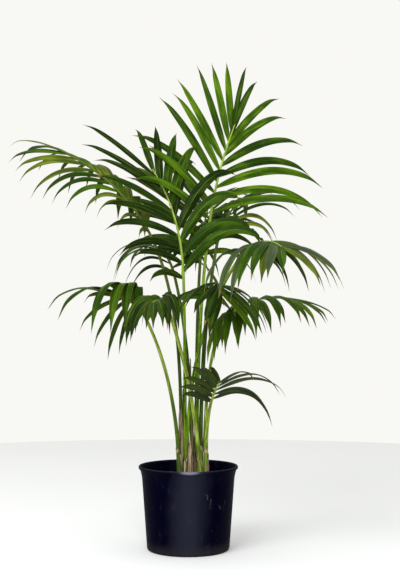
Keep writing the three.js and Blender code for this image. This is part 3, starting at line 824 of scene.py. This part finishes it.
def makePot():
    look = potShape
    base, corner, floor = look["baseRadius"], look["baseRound"], look["floor"]
    inside = base - look["wall"]
    flareFoot = look["height"] - look["flareHeight"]
    profile = [(radius, 0) for radius in (look["axisRadius"], *look["baseRings"], base - corner)]
    profile += arc((base - corner, corner), corner, look["roundFrom"], 0, look["roundSteps"])
    for share in np.linspace(*look["wallRows"]):
        radius = base + (look["neckRadius"] - base) * share
        profile.append((radius, corner + (flareFoot - corner) * share))
    lip = smoothLine(look["lipOutside"] + look["lipInside"], look["smooth"])
    profile += [(look["neckRadius"] + out, flareFoot + up) for out, up in lip]
    profile += [(inside - look["wallTaper"], floor + look["corner"]), (inside - look["corner"], floor),
                (look["floorRing"], floor), (look["axisRadius"], floor)]
    pile = Pile()
    turnedSkin(pile, profile, look["sides"])
    pot = pile.build("pot_shell", [potPlastic], look["sharp"])
    weld(pot, look["weldReach"])
    cutters = Pile()
    for i in range(look["drainCount"]):
        angle = 2 * math.pi * (i + 0.5) / look["drainCount"]
        centre = look["drainCircle"] * ahead(angle)
        ends = [circle(look["drainRadius"], height, look["drainSides"]) + centre
                for height in (-look["drainOver"], floor + look["drainOver"])]
        skinRings(cutters, ends, [0], [0, 1])
    cutter = cutters.build("drain_cutter", [potPlastic])
    cut = pot.modifiers.new("drains", "BOOLEAN")
    cut.operation = "DIFFERENCE"
    cut.object = cutter
    cut.solver = "EXACT"
    applyModifiers(pot)
    bpy.data.objects.remove(cutter)
    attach(pot, "root")
    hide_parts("pot")


def weld(piece, distance):
    work = bmesh.new()
    work.from_mesh(piece.data)
    bmesh.ops.remove_doubles(work, verts=work.verts, dist=distance)
    bmesh.ops.recalc_face_normals(work, faces=work.faces)
    work.to_mesh(piece.data)
    work.free()


def applyModifiers(piece):
    graph = bpy.context.evaluated_depsgraph_get()
    made = bpy.data.meshes.new_from_object(piece.evaluated_get(graph))
    piece.modifiers.clear()
    piece.data = made


makePot()
print("pot made")


# soil with crumbs and bits of bark on it
soilShape = dict(
    sides=120, rings=44, wallGap=0.5, edgeHeight=184, sharp=180,
    dishFrom=64, dishReach=50, dishDepth=5, dishCurve=1.2, lowered=1.2,
    lump=1.82, lumpScale=0.045, crumb=0.5, crumbScale=0.35,
    sideInset=0.4, sideHeight=170, footInset=1.4, footHeight=12,
    underInset=6, underHeight=4.6,
)


def soilHeight(x, y):
    look = soilShape
    dish = min(1, max(0, (math.hypot(x, y) - look["dishFrom"]) / look["dishReach"]))
    lumps = noise.fractal(Vector((x * look["lumpScale"], y * look["lumpScale"], 1.7)), 0.9, 2.1, 4)
    crumbs = noise.noise(Vector((x * look["crumbScale"], y * look["crumbScale"], 5.1)))
    base = growth["soilTop"] - look["dishDepth"] * dish ** look["dishCurve"] - look["lowered"]
    return base + look["lump"] * lumps + look["crumb"] * crumbs


def makeSoil():
    look, pot = soilShape, potShape
    sides, count = look["sides"], look["rings"]
    inside = pot["baseRadius"] - pot["wall"]
    low = pot["floor"] + pot["corner"]
    widening = pot["neckRadius"] - pot["baseRadius"] + pot["wallTaper"]
    slope = widening / (pot["height"] - pot["flareHeight"] - low)
    outer = inside - pot["wallTaper"] + slope * (look["edgeHeight"] - low) - look["wallGap"]
    rings = [circle(outer * ring / count, 0, sides) for ring in range(1, count + 1)]
    for ring in rings:
        ring[:, 2] = [soilHeight(x, y) for x, y, _ in ring]
    rings += [circle(outer - look["sideInset"], look["sideHeight"], sides),
              circle(inside - look["footInset"], look["footHeight"], sides),
              circle(inside - look["underInset"], look["underHeight"], sides)]
    faces = [(0, 1 + k, 1 + (k + 1) % sides) for k in range(sides)]
    uvs = [[(0.5, 0.5)] * 3] * sides
    for ring in range(len(rings) - 1):
        for k in range(sides):
            a = 1 + ring * sides + k
            b = 1 + ring * sides + (k + 1) % sides
            faces.append((a, a + sides, b + sides, b))
            uvs.append([(k / sides, ring)] * 4)
    last = 1 + (len(rings) - 1) * sides
    faces.append(tuple(last + k for k in range(sides - 1, -1, -1)))
    uvs.append([(0.5, 0.5)] * sides)
    pile = Pile()
    pile.add(np.concatenate([[(0, 0, soilHeight(0, 0))], *rings]), faces, [0] * len(faces), uvs)
    soil = pile.build("soil_bed", [soilDark], look["sharp"])
    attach(soil, "root")
    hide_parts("soil")
    return outer


bitShape = dict(
    count=620, sizes=(1.2, 4.2), sizeCurve=2.2, reach=0.985, lifted=0.15, tilt=0.5,
    length=1.1, width=0.6, height=0.38, ends=((-1, 0.45), (-0.4, 1), (0.35, 0.9), (1, 0.35)),
    sides=5, turned=0.4, least=0.8, uneven=0.25, barkFrom=-0.1, sharp=50,
)


def makeBits(outer):
    look = bitShape
    pile = Pile()
    for i in range(look["count"]):
        angle = math.pi * (chance(i, 1, 41) + 1)
        radius = outer * look["reach"] * math.sqrt((chance(i, 2, 41) + 1) / 2)
        centre = radius * ahead(angle)
        low, high = look["sizes"]
        size = low + (high - low) * ((chance(i, 3, 41) + 1) / 2) ** look["sizeCurve"]
        centre[2] = soilHeight(centre[0], centre[1]) + size * look["lifted"]
        tilt = look["tilt"] * chance(i, 5, 41)
        way = ahead(math.pi * chance(i, 4, 41)) * math.cos(tilt) + np.array([0, 0, math.sin(tilt)])
        side = unit(np.cross([0, 0, 1], way))
        up = np.cross(way, side)
        rings = []
        for k, (along, wide) in enumerate(look["ends"]):
            ring = []
            for m in range(look["sides"]):
                a = 2 * math.pi * m / look["sides"] + look["turned"] * chance(i, k, m)
                r = size * wide * (look["least"] + look["uneven"] * chance(i, k + 7, m))
                across, above = r * look["width"] * math.cos(a), r * look["height"] * math.sin(a)
                ring.append(centre + way * along * size * look["length"] + side * across + up * above)
            rings.append(np.array(ring))
        slot = 0 if chance(i, 6, 41) > look["barkFrom"] else 1
        skinRings(pile, rings, [slot], [0, 1, 2, 3])
    piece = pile.build("soil_bark_bits", [soilBark, soilDark], look["sharp"])
    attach(piece, "root")


soilOuter = makeSoil()
makeBits(soilOuter)
print("soil made")


# green sheaths round the stalks' feet, torn ones outside them, dried sheaths and loose fibres;
# a torn sheath's slot is 1 for dry fibre or 2 for green, and a dried one's outer layer is 0 for
# dry fibre or 1 for the shaded stalk green, which is painted shade
wrapShape = dict(
    shoots=dict(left="leaning", right="pale", back="leaning"), sharp=60,
    columns=15, rows=16, spanDegrees=250, thickness=0.9, standOff=0.5,
    heightShare=0.72, heightSpread=0.22, ragged=0.3, tearWaves=7, edgeTear=0.35,
    edgeCurl=0.10, curl=0.05, flare=0.9, flareLeast=0.4, ribDepth=0.18, ribWaves=46,
    edgeThin=0.6, dryColumns=2, dryRows=2,
)
tornWraps = dict(
    left_top=dict(height=236, span=190, turn=-85, ragged=0.42, standOff=0.5, slot=1),
    front=dict(height=104, span=110, turn=60, ragged=0.5, standOff=0.8, slot=1),
    low=dict(height=70, span=90, turn=-40, ragged=0.6, standOff=0.8, slot=1),
    centre=dict(height=262, span=210, turn=25, ragged=0.3, standOff=1.9, slot=2),
)
drySheaths = [
    dict(name="dry_sheath_front", foot=[6, -21], heading=250, height=118, radius=5.4, seed=31, outer=0),
    dict(name="dry_sheath_middle", foot=[17, 6], heading=60, height=92, radius=5, seed=32, outer=1),
]
dryShape = dict(
    layers=((230, 1.0, 1.0), (170, 0.72, 0.86), (200, 0.45, 0.7)),  # span, thickness and height
    lean=2, fork=6, wide=1.1, taper=0.35, layerTurn=130, ragged=0.6,
)
deadStub = dict(
    foot=[12, 9], heading=157, lean=1.45, length=298, radius=2.4, seed=33,
    sides=9, rows=24, uneven=0.16, taper=0.35, torn=5, streaks=0.25,
)


# a sheet bent round a spine, with a ragged upper edge
def addWrap(pile, frond, spine, seed, height, radiusAt, span, slots, ragged=wrapShape["ragged"], turn=0):
    look = wrapShape
    columns, rows = look["columns"], look["rows"]
    rings = []
    for row in range(rows + 1):
        outer, inner = [], []
        for column in range(columns + 1):
            share = column / columns
            edge = abs(share * 2 - 1)
            wave = 0.5 + 0.5 * noise.noise(Vector((seed * 3.1, share * look["tearWaves"], 0.5)))
            tear = 1 - ragged * wave - look["edgeTear"] * edge ** 2
            along = max(0.0, height * tear * row / rows)
            point, _, level, up = crossAt(frond, spine, along)
            angle = math.radians(turn - 90) + math.radians(span) / 2 * (share * 2 - 1)
            outward = level * math.cos(angle) + up * math.sin(angle)
            uneven = look["curl"] * noise.noise(Vector((seed, along * 0.03, share * 5)))
            curl = 1 + look["edgeCurl"] * edge ** 3 + uneven
            opened = look["flareLeast"] + noise.noise(Vector((seed * 1.7, share * 4, 2.2)))
            radius = radiusAt(along) * curl + look["flare"] * (row / rows) ** 4 * opened
            ribs = look["ribDepth"] * math.sin(share * look["ribWaves"])
            outer.append(point + outward * (radius + ribs))
            thick = look["thickness"] * (1 - look["edgeThin"] * edge ** 2)
            inner.append(point + outward * (radius - thick))
        rings.append(np.array(outer + inner[::-1]))
    columnSlots = []
    for column in range(2 * columns + 2):
        place = min(column, 2 * columns + 1 - column)
        dried = place < look["dryColumns"] or place >= columns - look["dryColumns"]
        columnSlots.append(slots[1] if dried else slots[0])

    def rowSlot(row, slot):
        return slots[1] if row >= rows - look["dryRows"] else slot

    lengths = [height * row / rows * paintLength for row in range(rows + 1)]
    skinRings(pile, rings, columnSlots, lengths, rowSlot)


def makeWraps(shoot, tone):
    look = wrapShape
    pile = Pile()
    for frond in [f for f in frondList if f["shoot"] == shoot]:
        spine = spineOf(frond, stalkShape["fine"])
        share = look["heightShare"] + look["heightSpread"] * chance(frond["seed"], 5, 51)

        def radiusAt(along, more=0):
            return stalkRadius(frond, along) + look["standOff"] + more

        height = growth["sheathLength"] * share
        addWrap(pile, frond, spine, frond["seed"], height, radiusAt, look["spanDegrees"], (0, 1))
        torn = tornWraps.get(frond["name"])
        if torn:
            slots = (torn["slot"], torn["slot"])
            addWrap(pile, frond, spine, frond["seed"] + 1, torn["height"],
                    lambda along: radiusAt(along, torn["standOff"]), torn["span"], slots,
                    torn["ragged"], torn["turn"])
    paints = [stalkPaints[tone], dryFibre, stalkPaints["green"]]
    piece = pile.build("sheath_wraps_" + shoot, paints, look["sharp"])
    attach(piece, "root")
    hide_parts("shoot_" + shoot)


# a nearly upright stick, in a frond's terms
def stickOf(piece, height, lean, fork, bend):
    return dict(foot=piece["foot"], heading=piece["heading"], turn=0, lean=lean, fork=fork, bend=bend,
                arch=fork, ease=1, petiole=height, rachis=1, seed=piece["seed"])


def makeDrySheath(dry):
    look = dryShape
    stick = stickOf(dry, dry["height"], look["lean"], look["fork"], 2)
    spine = spineOf(stick, growth["spineSteps"])
    pile = Pile()
    for layer, (span, scale, reach) in enumerate(look["layers"]):
        def radiusAt(along):
            return dry["radius"] * scale * (look["wide"] - look["taper"] * along / dry["height"])

        turned = dict(stick, heading=dry["heading"] + layer * look["layerTurn"])
        slots = (dry["outer"] if layer == 0 else 0, 0)
        addWrap(pile, turned, spine, dry["seed"] + layer * 7, dry["height"] * reach, radiusAt,
                span, slots, look["ragged"])
    piece = pile.build(dry["name"] + "_fibres", [dryFibre, stalkPaints["shaded"]], wrapShape["sharp"])
    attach(piece, "root")
    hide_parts(dry["name"])


# what is left of a dead stalk, standing between the others
def addDeadStub(pile):
    stub = deadStub
    spine = spineOf(stickOf(stub, stub["length"], stub["lean"], stub["lean"], 1), growth["spineSteps"])
    rings = []
    for row in range(stub["rows"] + 1):
        t = row / stub["rows"]
        point, _ = spineAt(spine, t * stub["length"])
        uneven = np.array([chance(row, k, stub["seed"]) for k in range(stub["sides"])])
        ring = circle(stub["radius"] * (1 + stub["uneven"] * uneven - stub["taper"] * t), 0, stub["sides"])
        if row == stub["rows"]:
            ring[:, 2] = [stub["torn"] * chance(k, 1, stub["seed"]) for k in range(stub["sides"])]
        rings.append(point + ring)
    skinRings(pile, rings, [0], [row * stub["streaks"] for row in range(stub["rows"] + 1)])


strandShape = dict(
    count=7, rows=8, out=(7.0, 1.5), height=(38, 34), buried=2, inward=2.2, fan=1.3,
    drift=2.6, wave=0.6, waves=5, radius=0.55, taper=0.8, corners=(0, 2.1, 4.2),
    streaks=0.3,
)


def makeStrands():
    look = strandShape
    pile = Pile()
    for owner in frondList + drySheaths:
        foot, seed = owner["foot"], owner["seed"]
        for k in range(look["count"]):
            angle = math.pi * chance(seed, k, 61)
            aside = ahead(angle)
            out = look["out"][0] + look["out"][1] * chance(seed, k, 62)
            height = look["height"][0] + look["height"][1] * chance(seed, k, 63)
            start = np.array([*foot, growth["soilTop"] - look["buried"]]) + out * aside
            drift = ahead(angle + look["fan"] * chance(seed, k, 64))
            rings = []
            for row in range(look["rows"] + 1):
                t = row / look["rows"]
                wave = look["wave"] * math.sin(t * look["waves"] + seed + k)
                centre = start - look["inward"] * t * aside + drift * (look["drift"] * t * t + wave)
                centre[2] += height * t
                thin = look["radius"] * (1 - look["taper"] * t)
                rings.append(np.array([centre + (thin * math.cos(a), thin * math.sin(a), 0)
                                       for a in look["corners"]]))
            skinRings(pile, rings, [0], [row * look["streaks"] for row in range(look["rows"] + 1)])
    addDeadStub(pile)
    piece = pile.build("sheath_strands", [dryFibre], wrapShape["sharp"])
    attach(piece, "root")


for shootName, shootTone in wrapShape["shoots"].items():
    makeWraps(shootName, shootTone)
for sheathItem in drySheaths:
    makeDrySheath(sheathItem)
makeStrands()
print("sheaths made")


def makeFloor():
    mesh = bpy.data.meshes.new("floor")
    corners = circle(studio["floorRadius"], 0, studio["floorSides"])
    mesh.from_pydata(corners.tolist(), [], [tuple(range(studio["floorSides"]))])
    mesh.materials.append(floorPaint())
    floor = bpy.data.objects.new("floor", mesh)
    bpy.context.collection.objects.link(floor)


makeFloor()
